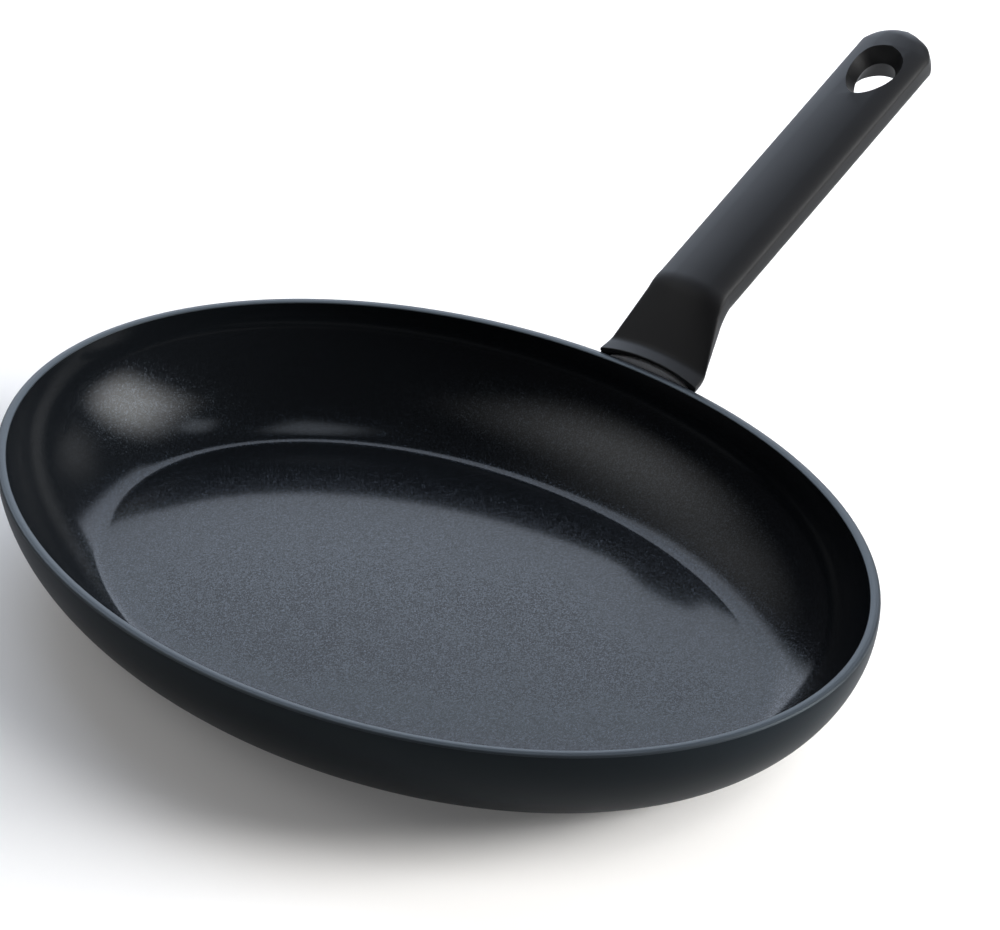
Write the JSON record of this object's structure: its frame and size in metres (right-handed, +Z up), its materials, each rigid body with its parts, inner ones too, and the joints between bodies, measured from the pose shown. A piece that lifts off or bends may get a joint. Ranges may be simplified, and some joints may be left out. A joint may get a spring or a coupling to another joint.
{
  "type": "oval fish pan",
  "caption": "Oval frying pan for whole fish: coated aluminium bowl with a perforated induction plate in its base and a moulded side handle with a hang hole, screwed over a welded lug.",
  "frame": {"origin": "middle of the bowl's base, on the plane that it rests on", "axes": "+Z up, +X along the long axis of the oval, +Y from the middle of the bowl to the handle on its long side"},
  "size_m": [0.36, 0.4282, 0.131],
  "materials": {
    "coated_aluminium": "near-black ceramic non-stick coating with fine flakes inside, satin black lacquer outside",
    "plate_steel": "finely turned ferritic steel",
    "lug_aluminium": "plain cast aluminium, slightly dulled",
    "handle_plastic": "matte moulded phenolic",
    "screw_steel": "plain steel"
  },
  "bodies": {
    "root": {"pan_body": "coated_aluminium", "induction_plate": "plate_steel", "handle_lug": "lug_aluminium", "handle": "handle_plastic", "lock_washer": "screw_steel", "handle_screw": "screw_steel"}
  },
  "joints": []
}
